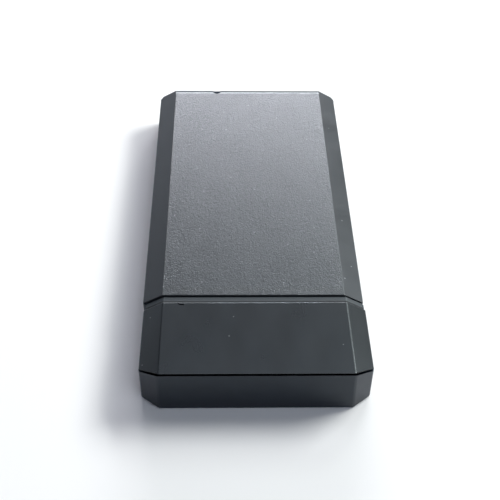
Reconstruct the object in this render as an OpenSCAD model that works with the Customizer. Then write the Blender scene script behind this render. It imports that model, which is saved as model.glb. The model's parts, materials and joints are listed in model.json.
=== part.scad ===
// Slim handheld logic analyzer with a pull-off end cap. Millimetres, +Z up.
// The long axis is Y. The cap is at the -Y end and the USB socket at the +Y end.
// The origin is under the middle of the whole case, on the surface that it lies on.

/* [Case] */
// Width of the case
case_w = 50; // [48:1:54]
// Length of the case with its cap on
case_l = 110; // [108:1:116]
// Height of the case
case_h = 11; // [10.8:0.1:12]
// Thickness of the walls and of the flat top
wall = 1.5; // [1.4:0.1:1.6]
// Thickness of the floors
floor_t = 1.6; // [1.6:0.1:1.8]
// Width of each sloping edge, seen from above
slope_w = 4.4; // [4.2:0.1:4.8]
// Drop of each sloping edge
slope_h = 2.5; // [2.3:0.1:2.7]
// How far the outer walls lean in towards the floor
draft = 0.2; // [0:0.05:0.3]
// Radius of the two upright corners at the back
back_r = 2; // [1:0.1:2.2]
// Width of the seam round the end walls, between a cover and its tray
seam = 0.3; // [0.2:0.05:0.35]
// Width of the same seam along the sides
side_seam = 0.2; // [0.1:0.05:0.3]

/* [Cap] */
// Length of the cap with its lowered band
cap_l = 23.7; // [23:0.1:26]
// Length of each slanting corner wall along the case
corner_l = 3.6; // [3:0.1:4.2]
// Length of the lowered band at the open end of the cap
band_l = 2; // [1.4:0.1:2.2]
// How far the band is lowered
band_drop = 0.25; // [0.1:0.05:0.4]
// Gap between the cap and the body
parting_gap = 0.3; // [0.2:0.05:0.5]
// How far the cap sits to one side on its loose collar
cap_shift = 0.25; // [0:0.05:0.25]

/* [Collar] */
// How far the collar stands out of the body
collar_l = 12; // [11:0.5:12.5]
// Clearance between the collar and the inside of the cap
collar_fit = 0.35; // [0.35:0.05:0.45]
// Depth of the lead socket in the collar
socket_l = 8.5; // [8:0.5:9]

/* [Board] */
// Thickness of the circuit board
board_t = 1.6; // [1.2:0.2:1.6]
// Width of the circuit board
board_w = 43; // [42:0.5:43]
// Distance of the four screws from the middle of the case
screw_x = 18.6; // [17.5:0.1:18.8]

/* [Probe header] */
// Pins in each row of the probe header
pins_per_row = 10; // [8:1:10]

/* [Hidden] */
$fn = 48;

big = 300;
touch = 0.01;

// Stations along the case
front_y = -case_l / 2;
back_y = case_l / 2;
cap_end_y = front_y + cap_l;
band_y = cap_end_y - band_l;
mouth_y = cap_end_y + parting_gap;
collar_y = mouth_y - collar_l;
bezel_end_y = mouth_y + 5;
peg_y = front_y + 6.5;

// Outer form
seam_z = case_h - slope_h;
slope_angle = atan2(slope_h, slope_w);
corner_angle = atan2(corner_l, slope_w);
corner_pitch = atan2(slope_h, sqrt(slope_w * slope_w + corner_l * corner_l));

// Locating lips under the covers
ceiling_z = case_h - wall;
lip_t = 1;
lip_gap = 0.3;
lip_x = case_w / 2 - wall - 2.4;
lip_z = seam_z - 1.5;
end_lip_h = 1.8;

// Small notch in the back edge of the body's cover
notch_x = -8.8;
notch_w = 1.9;
notch_l = 1.7;
notch_side_l = 1.5;
notch_depth = 1;

// Small nick in the cap's cover, just in front of its rim, with a narrow opening to it
nick_x = -16.5;
nick_w = 1.6;
nick_l = 0.7;
nick_rim = 0.3;
nick_depth = 0.35;

// Board and what stands on it
board_mid_z = 5.5;
board_top_z = board_mid_z + board_t / 2;
board_bottom_z = board_mid_z - board_t / 2;
board_front_y = mouth_y - 0.9;
board_back_y = back_y - 2;
screw_ys = [mouth_y + 9.5, back_y - 8.5];

// Screws, M2 with a pan head
screw_r = 0.95;
screw_head_r = 1.9;
screw_head_h = 1.3;
screw_seat_z = 1.5;
screw_tip_z = 8.5;
screw_hole_r = 1.15;
head_hole_r = 2.3;
thread_hole_r = 1;
thread_hole_h = 2.6;
boss_r = 2.5;
post_r = 2.4;
post_root = 0.4;

// Collar and its socket
rear_fit = 0.1;
collar_wall = 1;
collar_floor_z = floor_t + 0.3;
socket_h = 5.8;
socket_back_y = collar_y + socket_l;
socket_web = 2;
core_back_y = socket_back_y + socket_web;
core_x = board_w / 2 + 0.4;
pocket_web = 1.5;
key_slot_w = 5;
key_slot_l = 4;

// Ribs inside the body that hold the collar, and low ribs on the collar that steady the cap
rib_y = mouth_y + 1.8;
rib_w = 0.9;
rib_h = 0.8;
rib_half_l = 14;
rib_gap = 0.1;
rib_end_gap = 0.2;
grip_rib_xs = [-17, -9, 9, 17];
grip_rib_w = 1;
grip_rib_l = 8;
grip_rib_h = 0.15;

// Probe header, 2.54 mm pitch
pitch = 2.54;
pin_t = 0.64;
header_w = pins_per_row * pitch;
header_l = 2.5;
header_h = 5;
header_clear = 0.1;
header_groove = 0.7;
socket_w = header_w + 2;
pin_tip_y = collar_y + 2;
pin_tail_y = board_front_y + 3;

// USB-C socket, in the standard's sizes
usb_w = 8.94;
usb_h = 3.26;
usb_t = 0.3;
usb_l = 7.35;
usb_mouth_y = back_y - 0.25;
usb_back_y = usb_mouth_y - usb_l;
usb_clear = 0.15;
usb_board_clear = 0.2;
usb_tab_ys = [1.5, 4.6];
usb_tab_w = 1.4;
usb_tab_root = 0.6;
usb_tab_l = 1.1;
usb_plug_l = 1.8;
usb_tongue_w = 6.7;
usb_tongue_t = 0.7;
usb_lead_count = 12;
usb_lead_pitch = 0.5;
usb_lead_w = 0.25;
usb_lead_l = 3.6;
usb_lead_t = 0.06;

// Pegs that hold the cap together
peg_x = 16;
peg_r = 1.5;
peg_tip_z = 3.2;
peg_bore_r = 1.55;
peg_bore_z = 2.6;
peg_boss_r = 2.7;
peg_boss_z = 5.8;

// Marks and leads of the chips
mark_r = 0.35;
mark_depth = 0.1;
chip_lift = 0.1;

// ---- Shared forms ----

// Draws the outline in X and Z, and runs it along Y from y0 to y1.
module along_y(y0, y1) {
    translate([0, y1, 0]) rotate([90, 0, 0]) linear_extrude(y1 - y0) children();
}

// Draws the outline in Y and Z, and runs it across the case.
module along_x() {
    translate([-big / 2, 0, 0]) rotate([90, 0, 90]) linear_extrude(big) children();
}

// Cross section of the case, moved in by d all round, with its floor at height low.
module section(d, low) {
    side_z = seam_z - d * tan(45 - slope_angle / 2);
    top_x = case_w / 2 - slope_w - d * tan(slope_angle / 2);
    foot_x = case_w / 2 - draft - d;
    polygon([[-foot_x, low], [foot_x, low], [case_w / 2 - d, side_z], [top_x, case_h - d],
             [-top_x, case_h - d], [-case_w / 2 + d, side_z]]);
}

// Outline of the cap from above, moved in by d, open towards y_end.
module cap_plan(d, y_end) {
    side_y = front_y + corner_l + d * tan(45 - corner_angle / 2);
    front_x = case_w / 2 - slope_w - d * tan(corner_angle / 2);
    polygon([[-case_w / 2 + d, y_end], [case_w / 2 - d, y_end], [case_w / 2 - d, side_y],
             [front_x, front_y + d], [-front_x, front_y + d], [-case_w / 2 + d, side_y]]);
}

// Outline of the body from above, with its two round back corners.
module body_plan() {
    translate([-case_w / 2, mouth_y]) square([case_w, back_y - back_r - mouth_y]);
    translate([-case_w / 2 + back_r, mouth_y]) square([case_w - 2 * back_r, back_y - mouth_y]);
    for (side = [-1, 1]) translate([side * (case_w / 2 - back_r), back_y - back_r]) circle(back_r);
}

// Solid outer form of the body.
module body_block() {
    intersection() {
        along_y(mouth_y, back_y) section(0, 0);
        linear_extrude(case_h) body_plan();
        along_x() polygon([[mouth_y, 0], [back_y - draft, 0], [back_y, case_h], [mouth_y, case_h]]);
    }
}

// Solid outer form of the cap: the full form up to the band, and the lowered band.
module cap_block() {
    intersection() {
        along_y(front_y, band_y) section(0, 0);
        linear_extrude(case_h) cap_plan(0, band_y);
        along_x() polygon([[front_y + draft, 0], [band_y, 0], [band_y, case_h], [front_y, case_h]]);
    }
    along_y(band_y - touch, cap_end_y) section(band_drop, 0);
}

module body_hollow() {
    along_y(mouth_y - 1, back_y - wall) section(wall, floor_t);
}

module cap_hollow() {
    intersection() {
        along_y(front_y, cap_end_y + 1) section(wall, floor_t);
        linear_extrude(case_h) cap_plan(wall, cap_end_y + 1);
    }
}

// Everything inside a plane that slants inwards and down from the X axis.
module inside_mitre(shift) {
    rotate([-45, 0, 0]) translate([-big / 2, -big / 2, shift]) cube(big);
}

// Everything inside the mitres of an end at Y = 0 that faces -Y. The middle mitre follows the flat
// top's edge. The outer two follow the ends of the sloping edges, which turn back by turn and
// drop by pitch_angle.
module inside_end(turn, pitch_angle, shift) {
    edge_x = case_w / 2 - slope_w;
    intersection() {
        translate([0, 0, case_h]) inside_mitre(shift);
        translate([-edge_x, -big / 2, -big / 2]) cube([2 * edge_x, big, big]);
    }
    both_sides() intersection() {
        translate([edge_x, 0, case_h]) rotate([0, pitch_angle, turn]) inside_mitre(shift);
        translate([edge_x - touch, -big / 2, -big / 2]) cube(big);
    }
}

// The space that belongs to the body's cover: above height z and inside the back end's mitres.
module body_cover_space(z, shift) {
    intersection() {
        translate([-big / 2, -big / 2, z]) cube(big);
        translate([0, back_y, 0]) mirror([0, 1, 0]) inside_end(0, slope_angle, shift);
    }
}

// The space that belongs to the cap's cover: above height z and inside the mitres of the front
// and corner walls.
module cap_cover_space(z, shift) {
    intersection() {
        translate([-big / 2, -big / 2, z]) cube(big);
        translate([0, front_y, 0]) inside_end(corner_angle, corner_pitch, shift);
    }
}

// Places a child at each of the four screws.
module at_screws() {
    for (x = [-screw_x, screw_x], y = screw_ys) translate([x, y, 0]) children();
}

// Places a child at both sides of the case.
module both_sides() {
    for (side = [0, 1]) mirror([side, 0, 0]) children();
}

// ---- Body ----

module top_cover() color([0.20, 0.20, 0.22]) {
    difference() {
        union() {
            difference() {
                intersection() {
                    body_block();
                    body_cover_space(seam_z, seam / sqrt(2));
                }
                body_hollow();
            }
            at_screws() translate([0, 0, board_top_z])
                cylinder(r = post_r, h = ceiling_z - board_top_z + post_root);
            body_lips();
            translate([-rib_half_l, rib_y, ceiling_z - rib_h])
                cube([2 * rib_half_l, rib_w, rib_h + touch]);
        }
        at_screws() translate([0, 0, board_top_z - touch])
            cylinder(r = thread_hole_r, h = thread_hole_h);
        back_notch();
    }
}

// Lips along the sides and the back, just inside the tray's walls.
module body_lips() {
    side_y0 = bezel_end_y + lip_t;
    side_y1 = back_y - wall - lip_gap;
    both_sides() translate([lip_x - lip_t, side_y0, lip_z])
        cube([lip_t, side_y1 - side_y0, ceiling_z - lip_z]);
    translate([-screw_x, side_y1 - lip_t, ceiling_z - end_lip_h])
        cube([2 * screw_x, lip_t, end_lip_h + touch]);
}

// Shallow pointed notch in the top edge at the back.
module back_notch() {
    translate([notch_x, back_y, case_h - notch_depth]) linear_extrude(2 * notch_depth)
        polygon([[-notch_w / 2, 1], [-notch_w / 2, -notch_side_l], [0, -notch_l - seam],
                 [notch_w / 2, -notch_side_l], [notch_w / 2, 1]]);
}

module bottom_tray() color([0.13, 0.13, 0.15]) {
    difference() {
        union() {
            difference() {
                body_block();
                body_hollow();
                body_cover_space(seam_z - side_seam, -seam / sqrt(2));
            }
            at_screws() cylinder(r = boss_r, h = board_bottom_z);
            translate([-rib_half_l, rib_y, floor_t - touch]) cube([2 * rib_half_l, rib_w, rib_h + touch]);
        }
        at_screws() {
            translate([0, 0, -1]) cylinder(r = head_hole_r, h = screw_seat_z + 1);
            cylinder(r = screw_hole_r, h = board_bottom_z + 1);
        }
        along_y(usb_mouth_y - 3, back_y + 1) usb_outline(usb_clear);
    }
}

// ---- Collar ----

// Box centred on the width and on the board's height, from y0 to y1.
module centred_box(w, h, y0, y1) {
    translate([-w / 2, y0, board_mid_z - h / 2]) cube([w, y1 - y0, h]);
}

module neck_bezel() color([0.10, 0.10, 0.11]) {
    header_space = 2 * header_clear;
    difference() {
        union() {
            along_y(collar_y, mouth_y + touch) section(wall + collar_fit, collar_floor_z);
            along_y(mouth_y, bezel_end_y) section(wall + rear_fit, floor_t + rear_fit);
            grip_ribs();
        }
        centred_box(socket_w, socket_h, collar_y - 1, socket_back_y);
        centred_box(header_w + header_space, header_h + header_space, collar_y, core_back_y + 1);
        intersection() {
            union() {
                centred_box(2 * core_x, socket_h, core_back_y, bezel_end_y + 1);
                side_pockets();
            }
            along_y(collar_y, bezel_end_y + 2) section(wall + collar_fit + collar_wall, 0);
        }
        translate([-rib_half_l - rib_end_gap, rib_y - rib_gap, 0])
            cube([2 * (rib_half_l + rib_end_gap), rib_w + 2 * rib_gap, case_h]);
        translate([-key_slot_w / 2, collar_y - 1, board_mid_z])
            cube([key_slot_w, key_slot_l + 1, case_h]);
    }
}

// Pockets that keep the collar's walls even at both sides of the lead socket.
module side_pockets() {
    pocket_x = socket_w / 2 + pocket_web;
    both_sides() translate([pocket_x, collar_y + pocket_web, board_mid_z - socket_h / 2])
        cube([core_x - pocket_x, core_back_y - collar_y, socket_h]);
}

// Low ribs on the collar that steady the cap.
module grip_ribs() {
    low = collar_floor_z - grip_rib_h;
    high = ceiling_z - collar_fit + grip_rib_h;
    for (x = grip_rib_xs) translate([x - grip_rib_w / 2, collar_y + 1, low])
        cube([grip_rib_w, grip_rib_l, high - low]);
}

// ---- Board ----

module circuit_board() color([0.05, 0.25, 0.12]) {
    difference() {
        translate([-board_w / 2, board_front_y, board_bottom_z])
            cube([board_w, board_back_y - board_front_y, board_t]);
        translate([-usb_w / 2 - usb_board_clear, usb_back_y - usb_board_clear, 0])
            cube([usb_w + 2 * usb_board_clear, big, case_h]);
        at_screws() cylinder(r = screw_hole_r, h = case_h);
    }
}

// Middle of pin number i of a row.
function pin_x(i) = (i - (pins_per_row - 1) / 2) * pitch;

// Places a child at each pin of both rows.
module at_pins() {
    for (i = [0 : pins_per_row - 1], row = [-1, 1])
        translate([pin_x(i), 0, board_mid_z + row * pitch / 2]) children();
}

// Square bar along Y, with its middle on the axis and the given thickness.
module bar(t, y0, y1) {
    translate([-t / 2, y0, -t / 2]) cube([t, y1 - y0, t]);
}

module header_base() color([0.06, 0.06, 0.07]) {
    y0 = socket_back_y;
    y1 = socket_back_y + header_l;
    difference() {
        centred_box(header_w, header_h, y0, y1);
        at_pins() bar(pin_t, y0 - 1, y1 + 1);
        for (i = [0 : pins_per_row], side = [-1, 1])
            translate([pin_x(i) - pitch / 2, 0, board_mid_z + side * header_h / 2])
                rotate([0, 45, 0]) bar(header_groove, y0 - 1, y1 + 1);
    }
}

module header_pins() color([0.83, 0.68, 0.35]) {
    at_pins() bar(pin_t, pin_tip_y, pin_tail_y);
}

// Outline of the USB-C shell, grown by d.
module usb_outline(d) {
    r = usb_h / 2 + d;
    half = usb_w / 2 - usb_h / 2;
    translate([-half, board_mid_z - r]) square([2 * half, 2 * r]);
    for (side = [-1, 1]) translate([side * half, board_mid_z]) circle(r);
}

module usb_shell() color([0.75, 0.75, 0.77]) {
    difference() {
        union() {
            along_y(usb_back_y, usb_mouth_y) usb_outline(0);
            both_sides() for (y = usb_tab_ys)
                translate([usb_w / 2 - usb_tab_root, usb_back_y + y, board_top_z])
                    cube([usb_tab_root + usb_tab_w, usb_tab_l, usb_t]);
        }
        along_y(usb_back_y + usb_t, usb_mouth_y + 1) usb_outline(-usb_t);
    }
}

module usb_tongue() color([0.08, 0.08, 0.09]) {
    along_y(usb_back_y + usb_t, usb_back_y + usb_plug_l) usb_outline(-usb_t - 2 * touch);
    centred_box(usb_tongue_w, usb_tongue_t, usb_back_y + usb_plug_l - touch, usb_mouth_y - 1);
}

module usb_contacts() color([0.85, 0.7, 0.35]) {
    first_x = -((usb_lead_count - 1) * usb_lead_pitch + usb_lead_w) / 2;
    lead_z = (usb_tongue_t + usb_lead_t) / 2;
    for (i = [0 : usb_lead_count - 1], side = [-1, 1])
        translate([first_x + i * usb_lead_pitch, usb_back_y + usb_plug_l,
                   board_mid_z + side * lead_z - usb_lead_t / 2])
            cube([usb_lead_w, usb_lead_l, usb_lead_t]);
}

// Flat chip with a small round mark in one corner.
module chip(x, y, w, l, h) {
    translate([x, y, board_top_z]) difference() {
        translate([-w / 2, -l / 2, 0]) cube([w, l, h]);
        translate([-w / 2 + 3 * mark_r, l / 2 - 3 * mark_r, h - mark_depth])
            cylinder(r = mark_r, h = 1);
    }
}

// Chip with bent leads along its two long sides.
module leaded_chip(x, y, w, l, h, count, lead_pitch) {
    lead_w = 0.4 * lead_pitch;
    translate([x, y, board_top_z]) {
        translate([-w / 2, -l / 2, chip_lift]) cube([w, l, h]);
        for (turn = [0, 180], i = [0 : count - 1]) rotate([0, 0, turn])
            translate([w / 2, (i - (count - 1) / 2) * lead_pitch + lead_w / 2, 0])
                rotate([90, 0, 0]) linear_extrude(lead_w)
                    polygon([[-0.2, 0.5], [0.3, 0.5], [0.3, 0], [0.9, 0], [0.9, 0.15], [0.5, 0.15],
                             [0.5, 0.7], [-0.2, 0.7]]);
    }
}

// Row of equal small blocks across the board.
module block_row(count, step, y, w, l, h) {
    for (i = [0 : count - 1])
        translate([(i - (count - 1) / 2) * step - w / 2, y - l / 2, board_top_z]) cube([w, l, h]);
}

module logic_chip() color([0.07, 0.07, 0.08]) {
    chip(x = 0, y = 8, w = 14, l = 14, h = 1.2);
}

module usb_controller() color([0.07, 0.07, 0.08]) {
    chip(x = -2, y = 36, w = 9, l = 9, h = 0.9);
}

module sample_memory() color([0.07, 0.07, 0.08]) {
    chip(x = 14, y = 9, w = 8, l = 13, h = 1);
}

module config_memory() color([0.07, 0.07, 0.08]) {
    leaded_chip(x = -14, y = 9, w = 3.9, l = 4.9, h = 1.4, count = 4, lead_pitch = 1.27);
}

module input_buffers() color([0.07, 0.07, 0.08]) {
    for (side = [-1, 1])
        leaded_chip(x = side * 8, y = -9, w = 4.4, l = 6.5, h = 1, count = 10, lead_pitch = 0.65);
}

module voltage_regulators() color([0.07, 0.07, 0.08]) {
    for (place = [26, 32])
        leaded_chip(x = 12, y = place, w = 1.6, l = 2.9, h = 1.1, count = 2, lead_pitch = 1.9);
}

// Square block with a shallow round recess over its winding.
module power_inductor() color([0.25, 0.25, 0.26]) {
    size = 4;
    height = 2;
    translate([12, 38.5, board_top_z]) difference() {
        translate([-size / 2, -size / 2, 0]) cube([size, size, height]);
        translate([0, 0, height - mark_depth]) cylinder(r = 0.35 * size, h = 1);
    }
}

module clock_crystal() color([0.8, 0.8, 0.78]) {
    chip(x = -11, y = 34, w = 3.2, l = 2.5, h = 0.8);
}

module surge_arrays() color([0.07, 0.07, 0.08]) {
    block_row(count = 5, step = 2 * pitch, y = board_front_y + 5.5, w = 1.6, l = 1.6, h = 0.6);
}

module resistor_arrays() color([0.1, 0.1, 0.1]) {
    block_row(count = 5, step = 2 * pitch, y = board_front_y + 8.5, w = 3.2, l = 1.6, h = 0.5);
}

module resettable_fuse() color([0.15, 0.35, 0.2]) {
    chip(x = 5, y = 44, w = 3.2, l = 1.6, h = 0.8);
}

module capacitors() color([0.62, 0.5, 0.36]) {
    for (place = [-2, 18]) block_row(count = 8, step = 2, y = place, w = 1, l = 0.5, h = 0.5);
    block_row(count = 4, step = 3, y = 28, w = 1.6, l = 0.8, h = 0.8);
}

// Two lamps, each a lens on a wider base.
module status_leds() color([0.9, 0.9, 0.75]) {
    depth = 0.8;
    layer = 0.35;
    for (x = [-10, -7]) translate([x, 44 - depth / 2, board_top_z]) {
        translate([-0.8, 0, 0]) cube([1.6, depth, layer]);
        translate([-0.5, 0, layer - touch]) cube([1, depth, layer]);
    }
}

// Pan-head screws with a cross slot, from below.
module case_screws() color([0.55, 0.55, 0.57]) {
    slot_l = 2.2;
    slot_w = 0.4;
    slot_top_z = 0.9;
    at_screws() difference() {
        union() {
            translate([0, 0, screw_seat_z - screw_head_h]) cylinder(r = screw_head_r, h = screw_head_h);
            translate([0, 0, screw_seat_z - touch]) cylinder(r = screw_r, h = screw_tip_z - screw_seat_z);
        }
        for (turn = [0, 90]) rotate([0, 0, turn]) translate([-slot_l / 2, -slot_w / 2, 0])
            cube([slot_l, slot_w, slot_top_z]);
    }
}

// ---- Cap ----

module cap_cover() color([0.17, 0.17, 0.18]) {
    translate([cap_shift, 0, 0]) {
        difference() {
            intersection() {
                cap_block();
                cap_cover_space(seam_z, seam / sqrt(2));
            }
            cap_hollow();
            rim_nick();
        }
        both_sides() translate([peg_x, peg_y, peg_tip_z])
            cylinder(r = peg_r, h = ceiling_z - peg_tip_z + post_root);
        cap_lips();
    }
}

// Lips along the sides and the front, just inside the cap tray's walls. They end short of the collar.
module cap_lips() {
    side_y0 = front_y + corner_l + 2.5;
    side_y1 = collar_y - 2 * lip_gap;
    both_sides() translate([lip_x - lip_t, side_y0, lip_z])
        cube([lip_t, side_y1 - side_y0, ceiling_z - lip_z]);
    translate([-peg_x, front_y + wall + lip_gap, ceiling_z - end_lip_h])
        cube([2 * peg_x, lip_t, end_lip_h + touch]);
}

// Small uneven nick in the flat top, next to the edge where the full height meets the lowered band.
module rim_nick() {
    translate([nick_x, band_y - nick_rim, case_h - nick_depth]) linear_extrude(2 * nick_depth)
        polygon([[-0.6 * nick_w, nick_rim + touch], [-0.45 * nick_w, nick_rim + touch],
                 [-0.3 * nick_w, 0], [nick_w / 2, -0.3 * nick_l], [0.3 * nick_w, -nick_l],
                 [-0.3 * nick_w, -0.6 * nick_l]]);
}

module cap_tray() color([0.13, 0.13, 0.15]) {
    translate([cap_shift, 0, 0]) difference() {
        union() {
            difference() {
                cap_block();
                cap_hollow();
                cap_cover_space(seam_z - side_seam, -seam / sqrt(2));
            }
            both_sides() translate([peg_x, peg_y, floor_t - touch])
                cylinder(r = peg_boss_r, h = peg_boss_z - floor_t);
        }
        both_sides() translate([peg_x, peg_y, peg_bore_z]) cylinder(r = peg_bore_r, h = case_h);
    }
}

top_cover();
bottom_tray();
neck_bezel();
circuit_board();
header_base();
header_pins();
usb_shell();
usb_tongue();
usb_contacts();
logic_chip();
usb_controller();
sample_memory();
config_memory();
input_buffers();
voltage_regulators();
power_inductor();
clock_crystal();
surge_arrays();
resistor_arrays();
capacitors();
resettable_fuse();
status_leds();
case_screws();
cap_cover();
cap_tray();
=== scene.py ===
"""Looks of a slim black plastic logic analyzer with a pull-off end cap, on a plain pale floor."""

import json
from math import cos, pi, radians, sin

import bpy
from mathutils import Euler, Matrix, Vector


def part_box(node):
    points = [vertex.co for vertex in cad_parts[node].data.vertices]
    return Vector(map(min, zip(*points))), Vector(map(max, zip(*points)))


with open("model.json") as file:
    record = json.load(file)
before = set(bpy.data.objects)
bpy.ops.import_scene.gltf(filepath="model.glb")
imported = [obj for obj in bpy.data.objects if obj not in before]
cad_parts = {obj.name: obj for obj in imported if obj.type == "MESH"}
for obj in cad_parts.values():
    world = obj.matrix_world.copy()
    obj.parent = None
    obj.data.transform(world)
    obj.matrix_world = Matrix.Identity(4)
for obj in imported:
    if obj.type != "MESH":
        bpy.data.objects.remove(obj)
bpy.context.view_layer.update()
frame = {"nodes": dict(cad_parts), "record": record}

MM = 0.001

# ---- Measures of the case ----

COVER_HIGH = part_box("top_cover")[1]
CAP_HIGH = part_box("cap_cover")[1]
HALF_W = COVER_HIGH.x
BACK_Y = COVER_HIGH.y
FRONT_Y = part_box("cap_tray")[0].y
TOP_Z = COVER_HIGH.z
# The lowered band at the cap's open end, and the step in front of it
BAND_L = 2.0 * MM
BAND_Y = CAP_HIGH.y - BAND_L
# The sloping edges on both sides of the flat top
SLOPE_W = 4.4 * MM
SLOPE_H = 2.5 * MM
SEAM_Z = TOP_Z - SLOPE_H
FLAT_HALF_W = HALF_W - SLOPE_W

# ---- Camera ----

CAMERA_AIM = Vector((-0.53, -15.5, 11.0)) * MM
CAMERA_DISTANCE = 239.9 * MM
CAMERA_AZIMUTH = radians(1.78)
CAMERA_ELEVATION = radians(40.93)
CAMERA_ROLL = radians(1.12)
CAMERA_LENS = 73.0
SENSOR = 36.0
CLIP_START = 0.01


def make_camera():
    """A camera above the case and in front of its cap, a little to one side and slightly rolled."""
    data = bpy.data.cameras.new("camera")
    data.lens = CAMERA_LENS
    data.sensor_width = SENSOR
    data.clip_start = CLIP_START
    camera = bpy.data.objects.new("camera", data)
    bpy.context.scene.collection.objects.link(camera)
    turn = Euler((radians(90) - CAMERA_ELEVATION, 0, -CAMERA_AZIMUTH)).to_matrix()
    spin = Euler((0, 0, CAMERA_ROLL)).to_matrix()
    rotation = turn @ spin
    camera.rotation_euler = rotation.to_euler()
    camera.location = CAMERA_AIM + rotation @ Vector((0, 0, CAMERA_DISTANCE))
    bpy.context.scene.camera = camera


# ---- Node helpers ----

# Samples of the node that finds edges, and the cosine of its normal's turn off an edge and on one
EDGE_SAMPLES = 6
COSINE_AWAY = 0.98
COSINE_ON_EDGE = 0.8


class Tree:
    """Short calls for making nodes and linking them."""

    def __init__(self, tree):
        self.nodes = tree.nodes
        self.links = tree.links

    def node(self, kind, inputs=None, **settings):
        """A new node with these settings. Each of its inputs is fed a value or another node's output."""
        made = self.nodes.new(kind)
        for name, value in settings.items():
            setattr(made, name, value)
        for socket, value in (inputs or {}).items():
            self.feed(made.inputs[socket], value)
        return made

    def feed(self, socket, value):
        """Links an output to the socket, or sets the socket to a plain value."""
        if isinstance(value, bpy.types.NodeSocket):
            self.links.new(value, socket)
        else:
            socket.default_value = value

    def math(self, operation, a, b=0.0):
        return self.node("ShaderNodeMath", {0: a, 1: b}, operation=operation).outputs[0]

    def near(self, a, b, distance):
        """1 where two numbers differ by less than the distance, and 0 elsewhere."""
        return self.node("ShaderNodeMath", {0: a, 1: b, 2: distance}, operation="COMPARE").outputs[0]

    def ramp(self, value, low, high, start=0.0, end=1.0):
        """start where the value is low, end where it is high, and a straight change in between."""
        inputs = {"Value": value, "From Min": low, "From Max": high, "To Min": start, "To Max": end}
        return self.node("ShaderNodeMapRange", inputs).outputs["Result"]

    def choose(self, factor, a, b):
        """Number a where the factor is 0 and number b where it is 1."""
        return self.node("ShaderNodeMix", {0: factor, 2: a, 3: b}).outputs[0]


class Surface(Tree):
    """A material whose colour, roughness and bump come from nodes. All sizes are in metres."""

    def __init__(self, name, constants):
        self.material = bpy.data.materials.new(name)
        self.material.use_nodes = True
        super().__init__(self.material.node_tree)
        self.shader = self.nodes["Principled BSDF"]
        for socket, value in constants.items():
            self.shader.inputs[socket].default_value = value
        self.place = self.node("ShaderNodeTexCoord").outputs["Object"]

    def axis(self, letter):
        """The place along X, Y or Z."""
        return self.node("ShaderNodeSeparateXYZ", {0: self.place}).outputs[letter]

    def stretched(self, sizes):
        """The place, counted in spots of the given size along x, y and z."""
        scale = [1 / size for size in sizes]
        return self.node("ShaderNodeMapping", {"Vector": self.place, "Scale": scale}).outputs[0]

    def noise(self, sizes, detail=2.0):
        """A cloudy pattern from 0 to 1, of spots with one size or with one along each of x, y and z."""
        if isinstance(sizes, float):
            sizes = (sizes,) * 3
        inputs = {"Vector": self.stretched(sizes), "Scale": 1.0, "Detail": detail}
        return self.node("ShaderNodeTexNoise", inputs).outputs["Fac"]

    def blend(self, factor, a, b):
        """Colour a where the factor is 0 and colour b where it is 1."""
        made = self.node("ShaderNodeMix", {"Factor": factor}, data_type="RGBA")
        # The node's colours are its inputs 6 and 7 and its output 2
        self.feed(made.inputs[6], a)
        self.feed(made.inputs[7], b)
        return made.outputs[2]

    def overlay(self, colour, where, share, top):
        """The colour, with that share of the top colour over it where the pattern is 1."""
        return self.blend(self.math("MULTIPLY", where, share), colour, top)

    def wave(self, direction, width):
        """Smooth stripes from 0 to 1 across x or y, one for each width."""
        turned = self.math("MULTIPLY", self.axis(direction), 2 * pi / width)
        return self.ramp(self.math("SINE", turned), -1, 1)

    def specks(self, spacing, size, share):
        """1 on sparse round specks seen from above, and 0 elsewhere."""
        place = self.stretched((spacing, spacing, spacing))
        cell = self.node("ShaderNodeTexVoronoi", {"Vector": place, "Scale": 1.0}, voronoi_dimensions="2D")
        on_spot = self.math("LESS_THAN", cell.outputs["Distance"], size / spacing)
        random = self.node("ShaderNodeSeparateColor", {0: cell.outputs["Color"]}).outputs[0]
        return self.math("MULTIPLY", on_spot, self.math("LESS_THAN", random, share))

    def edges(self, width):
        """1 on the piece's edges, falling to 0 at about that width from them."""
        rounded = self.node("ShaderNodeBevel", {"Radius": width}, samples=EDGE_SAMPLES).outputs[0]
        flat = self.node("ShaderNodeNewGeometry").outputs["Normal"]
        along = self.node("ShaderNodeVectorMath", {0: rounded, 1: flat}, operation="DOT_PRODUCT")
        return self.ramp(along.outputs["Value"], COSINE_AWAY, COSINE_ON_EDGE)

    def bump(self, height, depth, under=None):
        """A normal for a height pattern of that depth, on top of another bump if one is given."""
        inputs = {"Height": height, "Distance": depth, "Strength": 1.0}
        if under is not None:
            inputs["Normal"] = under
        return self.node("ShaderNodeBump", inputs).outputs[0]

    def done(self, colour, roughness, normal):
        """The finished material."""
        self.feed(self.shader.inputs["Base Color"], colour)
        self.feed(self.shader.inputs["Roughness"], roughness)
        self.feed(self.shader.inputs["Normal"], normal)
        return self.material


def grey(value, red=1.0, blue=1.0):
    """A grey with a little more or less red and blue."""
    return (value * red, value, value * blue, 1.0)


# ---- Materials of the case ----

# Width over which one finish turns into the next
SOFT = 0.1 * MM
# How far from an edge the plastic is rubbed paler
WEAR_L = 0.35 * MM
WORN_EDGE = grey(0.12)
# Dust on the grained cover, and on the smooth pieces
GRAIN_DUST = grey(0.5)
SATIN_DUST = grey(0.4)
# Height of the faint unevenness of smooth moulded plastic
SKIN_DEPTH = 0.0006 * MM


def fine_skin(s, size):
    """Bump of smooth moulded plastic."""
    return s.bump(s.noise(size, 1), SKIN_DEPTH)


# The spark-eroded grain of the flat top
GRAIN_SIZE = 0.32 * MM
GRAIN_DEPTH = 0.086 * MM
GRAIN_DARK = grey(0.012, 0.9, 1.1)
GRAIN_LIGHT = grey(0.072, 0.94, 1.0)
# Roughness at the lows and the heights of the grain
GRAIN_ROUGHNESS = (0.33, 0.24)
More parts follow.
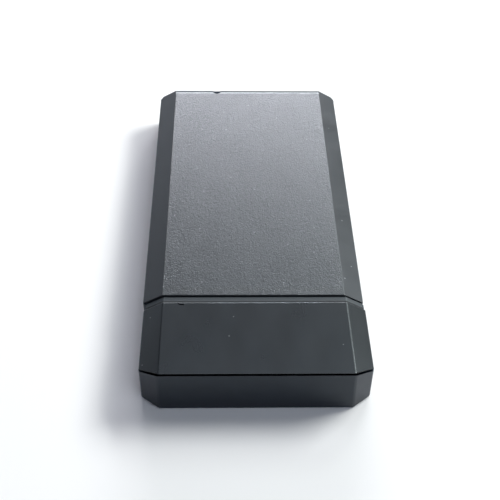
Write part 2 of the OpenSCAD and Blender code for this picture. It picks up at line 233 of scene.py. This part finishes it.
# The sloping edges and walls of the cover
SLOPE_DARK = grey(0.014, 0.9, 1.2)
SLOPE_LIGHT = grey(0.020, 0.9, 1.2)
SLOPE_ROUGHNESS = (0.34, 0.42)
# The dull strip along the back edge of the top, and the painted highlight line in front of it
DULL_L = 0.75 * MM
DULL_ROUGHNESS = 0.85
BACK_HIGHLIGHT_L = 1.1 * MM
BACK_HIGHLIGHT = grey(0.25)


def cover_zones(s):
    """Where the cover's top is flat, where it is grained, and where a highlight is painted near its back
    edge.
    """
    across = s.math("ABSOLUTE", s.axis("X"))
    inside = s.ramp(across, FLAT_HALF_W + SOFT, FLAT_HALF_W - SOFT)
    above = s.ramp(s.axis("Z"), TOP_Z - SOFT, TOP_Z - 0.6 * SOFT)
    flat = s.math("MULTIPLY", inside, above)
    from_back = s.math("SUBTRACT", BACK_Y, s.axis("Y"))
    grained = s.math("MULTIPLY", flat, s.ramp(from_back, DULL_L, DULL_L + SOFT))
    line = s.ramp(from_back, DULL_L + BACK_HIGHLIGHT_L, DULL_L + 0.5 * BACK_HIGHLIGHT_L)
    return flat, grained, s.math("MULTIPLY", line, grained)


def grained_cover():
    """Spark-eroded grain on the flat top, and smooth satin on the sloping edges and the walls."""
    s = Surface("grained_cover", {"IOR": 1.5})
    flat, grained, back_highlight = cover_zones(s)
    grain = s.noise(GRAIN_SIZE, 3)
    peaks = s.ramp(grain, 0.42, 0.62)
    tone = s.ramp(s.noise(6 * MM, 3), 0.35, 0.65, 0.75, 1)
    clouds = s.noise(9 * MM, 3)
    dust = s.specks(7 * MM, 0.14 * MM, 0.35)
    satin = s.blend(clouds, SLOPE_DARK, SLOPE_LIGHT)
    rough = s.blend(s.math("MULTIPLY", peaks, tone), GRAIN_DARK, GRAIN_LIGHT)
    colour = s.blend(grained, satin, rough)
    # A highlight painted pale on the grain just in front of the back edge
    colour = s.overlay(colour, back_highlight, 0.9, BACK_HIGHLIGHT)
    colour = s.overlay(colour, s.edges(WEAR_L), 0.12, WORN_EDGE)
    colour = s.overlay(colour, dust, 0.6, GRAIN_DUST)
    satin_roughness = s.ramp(clouds, 0.3, 0.7, *SLOPE_ROUGHNESS)
    grain_roughness = s.ramp(grain, 0.3, 0.7, *GRAIN_ROUGHNESS)
    outside = s.choose(flat, satin_roughness, DULL_ROUGHNESS)
    roughness = s.choose(grained, outside, grain_roughness)
    normal = s.bump(s.math("MULTIPLY", grain, grained), GRAIN_DEPTH, fine_skin(s, 0.12 * MM))
    return s.done(colour, roughness, normal)


def dusty_satin(s, dark, light):
    """Colour of smooth moulded plastic with faint flow marks along the case and a little dust."""
    flow = s.noise((5 * MM, 14 * MM, 5 * MM), 2)
    dust = s.specks(6 * MM, 0.13 * MM, 0.3)
    colour = s.blend(s.ramp(flow, 0.35, 0.65), dark, light)
    colour = s.overlay(colour, s.edges(WEAR_L), 0.1, WORN_EDGE)
    return s.overlay(colour, dust, 0.5, SATIN_DUST)


def satin_sheen(s, low, high):
    """Roughness with faint clouds and fine scratches along the case."""
    clouds = s.noise((7 * MM, 12 * MM, 7 * MM), 2)
    scratches = s.ramp(s.noise((0.15 * MM, 9 * MM, 0.15 * MM), 2), 0.66, 0.74)
    return s.math("ADD", s.ramp(clouds, 0.3, 0.7, low, high), s.math("MULTIPLY", scratches, 0.02))


# The lower shells of the body and the cap, a little bluer than the rest
CASE_TINT = grey(0.88, 0.88, 1.13)
CASE_DARK = grey(0.008, 0.75, 1.5)
CASE_LIGHT = grey(0.011, 0.75, 1.5)


def satin_case():
    """Smooth satin of the lower shells."""
    s = Surface("satin_case", {"IOR": 1.52, "Specular Tint": CASE_TINT})
    colour = dusty_satin(s, CASE_DARK, CASE_LIGHT)
    return s.done(colour, satin_sheen(s, 0.36, 0.42), fine_skin(s, 0.1 * MM))


# The upper shell of the cap
CAP_TINT = grey(0.94, 0.96, 1.0)
CAP_DARK = grey(0.009, 0.85, 1.2)
CAP_LIGHT = grey(0.0125, 0.85, 1.2)
# Its lowered band, with painted shade next to the step, between these two distances from it
BAND_COLOUR = grey(0.03, 0.9, 1.1)
BAND_ROUGHNESS = 0.36
CORNER_L = (0.6 * MM, 0.85 * MM)
CORNER_SHADE = grey(0.002)
CORNER_ROUGHNESS = 0.8
# The rim at the step, with a highlight painted pale on it between two places across the cap
RIM_LINE = 0.2 * MM
RIM_HIGHLIGHT_X = (-12 * MM, 16 * MM)
RIM_HIGHLIGHT = grey(0.2, 0.9, 1.1)


def painted_rim_highlight(s):
    """1 on patches of the cap's rim where a highlight is painted, in front of the step down to the band.
    """
    on_top = s.ramp(s.axis("Z"), TOP_Z - 0.5 * MM, TOP_Z - 0.4 * MM)
    line = s.ramp(s.axis("Y"), BAND_Y - RIM_LINE - 0.5 * SOFT, BAND_Y - RIM_LINE)
    from_left = s.ramp(s.axis("X"), RIM_HIGHLIGHT_X[0], RIM_HIGHLIGHT_X[0] + 4 * MM)
    to_right = s.ramp(s.axis("X"), RIM_HIGHLIGHT_X[1], RIM_HIGHLIGHT_X[1] - 2 * MM)
    # The span across the cap over which the rim's highlight is painted
    rubbed_and_highlight = s.math("MULTIPLY", from_left, to_right)
    patches = s.ramp(s.noise(1.6 * MM, 3), 0.35, 0.6, 0.2, 1)
    return s.math("MULTIPLY", s.math("MULTIPLY", s.math("MULTIPLY", line, on_top), rubbed_and_highlight), patches)


def satin_cap():
    """Smoother cap, with a duller lowered band that has painted shade next to its step, and a highlight
    painted on the rim between two places.
    """
    s = Surface("satin_cap", {"IOR": 1.5, "Specular Tint": CAP_TINT})
    band = s.ramp(s.axis("Y"), BAND_Y + 0.2 * SOFT, BAND_Y + 0.6 * SOFT)
    # The corner of the band next to the step, where shade is painted dark
    corner = s.ramp(s.axis("Y"), BAND_Y + CORNER_L[1], BAND_Y + CORNER_L[0])
    # A highlight painted pale on the rim, over the satin
    colour = s.blend(painted_rim_highlight(s), dusty_satin(s, CAP_DARK, CAP_LIGHT), RIM_HIGHLIGHT)
    # The band's colour, with the painted shade over it in that corner
    colour = s.blend(band, colour, s.overlay(BAND_COLOUR, corner, 0.9, CORNER_SHADE))
    dull = s.choose(corner, BAND_ROUGHNESS, CORNER_ROUGHNESS)
    roughness = s.choose(band, satin_sheen(s, 0.272, 0.292), dull)
    return s.done(colour, roughness, fine_skin(s, 0.1 * MM))


def collar_plastic():
    """Matte moulded plastic, worn a little glossier and paler on its edges by the cap."""
    s = Surface("collar_plastic", {"IOR": 1.5})
    grain = s.noise(0.25 * MM, 2)
    rubbed_and_highlight = s.ramp(s.noise((0.4 * MM, 8 * MM, 0.4 * MM), 2), 0.55, 0.75)
    wear = s.math("MAXIMUM", s.edges(0.4 * MM), rubbed_and_highlight)
    colour = s.overlay(grey(0.016), wear, 0.25, grey(0.07))
    roughness = s.ramp(wear, 0, 1, 0.6, 0.4)
    return s.done(colour, roughness, s.bump(grain, 0.006 * MM))


# ---- Materials of the inside ----

def scaled(colour, factor):
    """A darker or lighter colour, no brighter than white."""
    return tuple(min(1, factor * part) for part in colour[:3]) + (1.0,)


def moulded(name, colour, roughness, grain_size, grain_depth):
    """Matte moulded body with a fine grain and slightly uneven colour."""
    s = Surface(name, {"IOR": 1.5})
    grain = s.noise(grain_size, 2)
    clouds = s.noise(12 * grain_size, 2)
    mixed = s.blend(clouds, colour, scaled(colour, 1.5))
    mixed = s.overlay(mixed, s.edges(0.15 * MM), 0.2, grey(0.2))
    rough = s.ramp(grain, 0.3, 0.7, roughness - 0.05, roughness + 0.08)
    return s.done(mixed, rough, s.bump(grain, grain_depth))


def drawn_metal(name, colour, roughness, streaks):
    """Plated metal with streaks along its drawing direction and a few dull spots."""
    s = Surface(name, {"Metallic": 1.0})
    streak = s.noise(streaks, 3)
    spots = s.ramp(s.noise(0.8 * MM, 3), 0.55, 0.75)
    mixed = s.overlay(colour, spots, 0.6, scaled(colour, 0.7))
    rough = s.math("ADD", s.ramp(streak, 0.3, 0.7, roughness - 0.06, roughness + 0.08),
                   s.math("MULTIPLY", spots, 0.12))
    return s.done(mixed, rough, s.bump(streak, 0.002 * MM))


# The board's glass cloth and tracks, and its solder mask's greens
WEAVE_W = 0.8 * MM
TRACK_PITCH = 1.27 * MM
MASK_DARK = (0.008, 0.075, 0.03, 1)
MASK_LIGHT = (0.014, 0.12, 0.05, 1)
MASK_ON_TRACK = (0.03, 0.2, 0.07, 1)


def board():
    """Green solder mask over woven glass, with faint raised tracks under it."""
    s = Surface("board", {"IOR": 1.55, "Coat Weight": 0.3, "Coat Roughness": 0.15})
    weave = s.math("MULTIPLY", s.wave("X", WEAVE_W), s.wave("Y", WEAVE_W))
    lanes = s.math("MULTIPLY", s.wave("X", TRACK_PITCH), s.ramp(s.noise(3 * MM, 0), 0.45, 0.5))
    tracks = s.ramp(lanes, 0.7, 0.8)
    colour = s.blend(s.ramp(weave, 0, 1, 0, 0.3), MASK_DARK, MASK_LIGHT)
    colour = s.overlay(colour, tracks, 0.6, MASK_ON_TRACK)
    roughness = s.ramp(s.noise(1 * MM, 2), 0.3, 0.7, 0.25, 0.38)
    return s.done(colour, roughness, s.bump(tracks, 0.03 * MM, s.bump(weave, 0.004 * MM)))


def connector_plastic():
    return moulded("connector_plastic", grey(0.012), 0.5, 0.12 * MM, 0.004 * MM)


def gold_contacts():
    return drawn_metal("gold_contacts", (0.83, 0.6, 0.24, 1), 0.25, (0.05 * MM, 3 * MM, 0.05 * MM))


def socket_steel():
    return drawn_metal("socket_steel", (0.62, 0.62, 0.63, 1), 0.28, (0.08 * MM, 4 * MM, 0.08 * MM))


def chip_plastic():
    return moulded("chip_plastic", grey(0.018), 0.55, 0.1 * MM, 0.005 * MM)


def crystal_can():
    return drawn_metal("crystal_can", (0.7, 0.7, 0.68, 1), 0.3, (2 * MM, 0.06 * MM, 0.06 * MM))


def ceramic():
    return moulded("ceramic", (0.36, 0.24, 0.14, 1), 0.45, 0.08 * MM, 0.002 * MM)


def resistor_film():
    return moulded("resistor_film", grey(0.02), 0.45, 0.1 * MM, 0.002 * MM)


def fuse_film():
    return moulded("fuse_film", (0.03, 0.14, 0.06, 1), 0.4, 0.15 * MM, 0.003 * MM)


def lamp_resin():
    return moulded("lamp_resin", (0.62, 0.6, 0.42, 1), 0.2, 0.2 * MM, 0.001 * MM)


def screw_steel():
    return drawn_metal("screw_steel", (0.5, 0.5, 0.52, 1), 0.32, (0.3 * MM, 0.3 * MM, 0.05 * MM))


MATERIALS = [grained_cover, satin_case, satin_cap, collar_plastic, connector_plastic, gold_contacts,
             socket_steel, chip_plastic, crystal_can, ceramic, resistor_film, fuse_film, lamp_resin,
             screw_steel, board]


def dress_nodes():
    """Gives each node the material of its slot in the record."""
    made = {make.__name__: make() for make in MATERIALS}
    for part in frame["record"]["subparts"]:
        mesh = frame["nodes"][part["node"]].data
        mesh.materials.clear()
        mesh.materials.append(made[part["material_slot"]])


# ---- Edges ----

# Corners closer than this are one, and faces within this angle are one flat face
WELD_DISTANCE = 0.001 * MM
FLAT_ANGLE = radians(0.2)
# An edge is rounded where its faces turn by more than this
EDGE_ANGLE = radians(20)
# Radii of the case's edges on top, the cap's rim, the seams, the walls' upright edges and the foot
RIDGE_RADIUS = 0.2 * MM
RIM_RADIUS = 0.2 * MM
SEAM_RADIUS = 0.12 * MM
UPRIGHT_RADIUS = 0.5 * MM
FOOT_RADIUS = 0.6 * MM
LARGEST_RADIUS = FOOT_RADIUS
# How far from the case's top, rim, foot, sides and front an edge still belongs to them
TOP_REACH = 0.1 * MM
RIM_REACH = 0.05 * MM
FOOT_REACH = 0.3 * MM
SIDE_REACH = 0.6 * MM
FRONT_REACH = 0.3 * MM
# The middle of a wall's upright edge is lower than this
WALL_MIDDLE_Z = 0.7 * SEAM_Z
# The case's shorter edges stay sharp, apart from those of its round back corners
SHORTEST_EDGE = 1.8 * MM
BACK_CORNER = 2.4 * MM
CASE_SEGMENTS = 4
PART_SEGMENTS = 2


def radius_at(t, place):
    """The radius for an edge of the case at that place."""
    x, y, z = t.node("ShaderNodeSeparateXYZ", {0: place}).outputs
    on_top = t.math("GREATER_THAN", z, TOP_Z - TOP_REACH)
    at_rim = t.near(y, BAND_Y, RIM_REACH)
    at_foot = t.math("LESS_THAN", z, FOOT_REACH)
    beside = t.math("GREATER_THAN", t.math("ABSOLUTE", x), HALF_W - SIDE_REACH)
    in_front = t.math("LESS_THAN", y, FRONT_Y + FRONT_REACH)
    on_wall = t.math("LESS_THAN", z, WALL_MIDDLE_Z)
    upright = t.math("MULTIPLY", t.math("MAXIMUM", beside, in_front), on_wall)
    radius = t.choose(on_top, SEAM_RADIUS, RIDGE_RADIUS)
    radius = t.choose(at_rim, radius, RIM_RADIUS)
    radius = t.choose(upright, radius, UPRIGHT_RADIUS)
    return t.choose(at_foot, radius, FOOT_RADIUS)


def rounded_at(t, place):
    """1 on the case's outward edges that are long enough or belong to a round back corner."""
    x, y, z = t.node("ShaderNodeSeparateXYZ", {0: place}).outputs
    angle = t.node("GeometryNodeInputMeshEdgeAngle").outputs["Signed Angle"]
    outward = t.math("GREATER_THAN", angle, EDGE_ANGLE)
    ends = t.node("GeometryNodeInputMeshEdgeVertices").outputs
    positions = {0: ends["Position 1"], 1: ends["Position 2"]}
    span = t.node("ShaderNodeVectorMath", positions, operation="DISTANCE").outputs["Value"]
    long_enough = t.math("GREATER_THAN", span, SHORTEST_EDGE)
    behind = t.math("GREATER_THAN", y, BACK_Y - BACK_CORNER)
    beside = t.math("GREATER_THAN", t.math("ABSOLUTE", x), HALF_W - BACK_CORNER)
    chosen = t.math("MAXIMUM", long_enough, t.math("MULTIPLY", behind, beside))
    return t.math("MULTIPLY", outward, chosen)


def edge_radii():
    """A node group that gives each outward edge of the case a radius by where it lies."""
    group = bpy.data.node_groups.new("edge_radii", "GeometryNodeTree")
    group.interface.new_socket("Geometry", in_out="INPUT", socket_type="NodeSocketGeometry")
    group.interface.new_socket("Geometry", in_out="OUTPUT", socket_type="NodeSocketGeometry")
    t = Tree(group)
    start = t.node("NodeGroupInput")
    place = t.node("GeometryNodeInputPosition").outputs[0]
    share = t.math("DIVIDE", radius_at(t, place), LARGEST_RADIUS)
    weight = t.math("MULTIPLY", rounded_at(t, place), share)
    inputs = {"Geometry": start.outputs[0], "Name": "bevel_weight_edge", "Value": weight}
    marked = t.node("GeometryNodeStoreNamedAttribute", inputs, data_type="FLOAT", domain="EDGE")
    t.node("NodeGroupOutput", {0: marked.outputs[0]})
    return group


def join_faces(piece):
    """Joins a carried-over piece's split corners and flat faces, so that its edges can be rounded."""
    piece.modifiers.new("weld", "WELD").merge_threshold = WELD_DISTANCE
    flatten = piece.modifiers.new("flatten", "DECIMATE")
    flatten.decimate_type = "DISSOLVE"
    flatten.angle_limit = FLAT_ANGLE


def add_bevel(piece, width, segments):
    """Rounded edges, with the flat faces' normals kept flat."""
    bevel = piece.modifiers.new("bevel", "BEVEL")
    bevel.width = width
    bevel.segments = segments
    bevel.harden_normals = True
    return bevel


def soften_case(node, group):
    """Rounds each edge of one of the case's shells by the group's radius for it."""
    piece = frame["nodes"][node]
    join_faces(piece)
    piece.modifiers.new("radii", "NODES").node_group = group
    bevel = add_bevel(piece, LARGEST_RADIUS, CASE_SEGMENTS)
    bevel.limit_method = "WEIGHT"
    bevel.use_clamp_overlap = False


def soften_part(node, radius):
    """Rounds every sharp edge of a smaller piece by one radius."""
    piece = frame["nodes"][node]
    join_faces(piece)
    bevel = add_bevel(piece, radius, PART_SEGMENTS)
    bevel.limit_method = "ANGLE"
    bevel.angle_limit = EDGE_ANGLE


CASE_SHELLS = ["top_cover", "bottom_tray", "cap_cover", "cap_tray"]

# Radius of the rounded edges of each smaller piece
PART_RADII = {
    "neck_bezel": 0.2 * MM,
    "header_base": 0.06 * MM,
    "header_pins": 0.09 * MM,
    "usb_tongue": 0.06 * MM,
    "usb_shell": 0.05 * MM,
    "logic_chip": 0.08 * MM,
    "usb_controller": 0.08 * MM,
    "sample_memory": 0.08 * MM,
    "config_memory": 0.04 * MM,
    "input_buffers": 0.04 * MM,
    "voltage_regulators": 0.04 * MM,
    "power_inductor": 0.15 * MM,
    "clock_crystal": 0.08 * MM,
    "surge_arrays": 0.05 * MM,
    "resistor_arrays": 0.05 * MM,
    "resettable_fuse": 0.06 * MM,
    "capacitors": 0.06 * MM,
    "status_leds": 0.05 * MM,
    "case_screws": 0.12 * MM,
}


def soften_nodes():
    """Rounds the edges of the case's shells and of the smaller pieces."""
    radii = edge_radii()
    for node in CASE_SHELLS:
        soften_case(node, radii)
    for node, radius in PART_RADII.items():
        soften_part(node, radius)


# ---- Studio ----

FLOOR_HALF = 0.7
FLOOR_DARK = grey(0.87, 1.08, 0.95)
FLOOR_LIGHT = grey(0.89, 1.08, 0.95)
# How much light the room gives, and how bright the camera sees it
ROOM_LIGHT = 0.03
ROOM_BRIGHTNESS = 0.85
LIGHT_DISTANCE = 1.0


def make_floor():
    """A square of plain pale paper under the case."""
    mesh = bpy.data.meshes.new("floor")
    signs = [(-1, -1), (1, -1), (1, 1), (-1, 1)]
    corners = [(FLOOR_HALF * x, FLOOR_HALF * y, 0) for x, y in signs]
    mesh.from_pydata(corners, [], [(0, 1, 2, 3)])
    floor = bpy.data.objects.new("floor", mesh)
    bpy.context.scene.collection.objects.link(floor)
    s = Surface("floor_paper", {"IOR": 1.45})
    clouds = s.noise(60 * MM, 2)
    fibre = s.noise(0.5 * MM, 2)
    colour = s.blend(clouds, FLOOR_DARK, FLOOR_LIGHT)
    mesh.materials.append(s.done(colour, s.ramp(clouds, 0, 1, 0.8, 0.9), s.bump(fibre, 0.005 * MM)))


def make_room():
    """A room that looks pale to the camera, but gives hardly any light."""
    world = bpy.data.worlds.new("studio")
    bpy.context.scene.world = world
    world.use_nodes = True
    background = world.node_tree.nodes["Background"]
    background.inputs["Color"].default_value = grey(1)
    t = Tree(world.node_tree)
    seen = t.node("ShaderNodeLightPath").outputs["Is Camera Ray"]
    t.feed(background.inputs["Strength"], t.choose(seen, ROOM_LIGHT, ROOM_BRIGHTNESS))


def soft_light(name, azimuth, elevation, size, radiance, colour):
    """A soft panel that faces the case. Azimuth 0 is behind the case, 90 at its right side."""
    width, height = size
    data = bpy.data.lights.new(name, "AREA")
    data.shape = "RECTANGLE"
    data.size = width
    data.size_y = height
    data.energy = radiance * width * height * pi
    data.color = colour
    lamp = bpy.data.objects.new(name, data)
    bpy.context.scene.collection.objects.link(lamp)
    flat = cos(radians(elevation))
    towards = Vector((sin(radians(azimuth)) * flat, cos(radians(azimuth)) * flat, sin(radians(elevation))))
    lamp.location = towards * LIGHT_DISTANCE
    lamp.rotation_euler = towards.to_track_quat("Z", "Y").to_euler()


def make_lights():
    """A low window behind the case, two panels behind it on the right, and weak light from elsewhere."""
    soft_light("window", azimuth=3, elevation=14.5, size=(0.6, 0.31),
               radiance=16.9, colour=(0.95, 0.98, 1.07))
    soft_light("window_left", azimuth=-42, elevation=8, size=(0.9, 0.27),
               radiance=1.1, colour=(0.9, 1.0, 1.15))
    soft_light("right", azimuth=62, elevation=38, size=(0.55, 0.32),
               radiance=20.5, colour=(0.9, 0.99, 1.01))
    soft_light("ridge_light", azimuth=24, elevation=34, size=(0.15, 0.15),
               radiance=20.0, colour=(0.85, 1.0, 1.0))
    soft_light("above", azimuth=5, elevation=66, size=(0.5, 0.4),
               radiance=2.0, colour=(0.9, 1.0, 1.15))
    soft_light("front", azimuth=180, elevation=60, size=(0.6, 0.4),
               radiance=0.9, colour=(0.75, 1.0, 1.5))
    soft_light("front_right", azimuth=140, elevation=50, size=(0.6, 0.4),
               radiance=2.2, colour=(0.88, 1.0, 1.12))


make_camera()
make_floor()
make_room()
make_lights()
bpy.context.scene.view_settings.view_transform = "Standard"
dress_nodes()
soften_nodes()
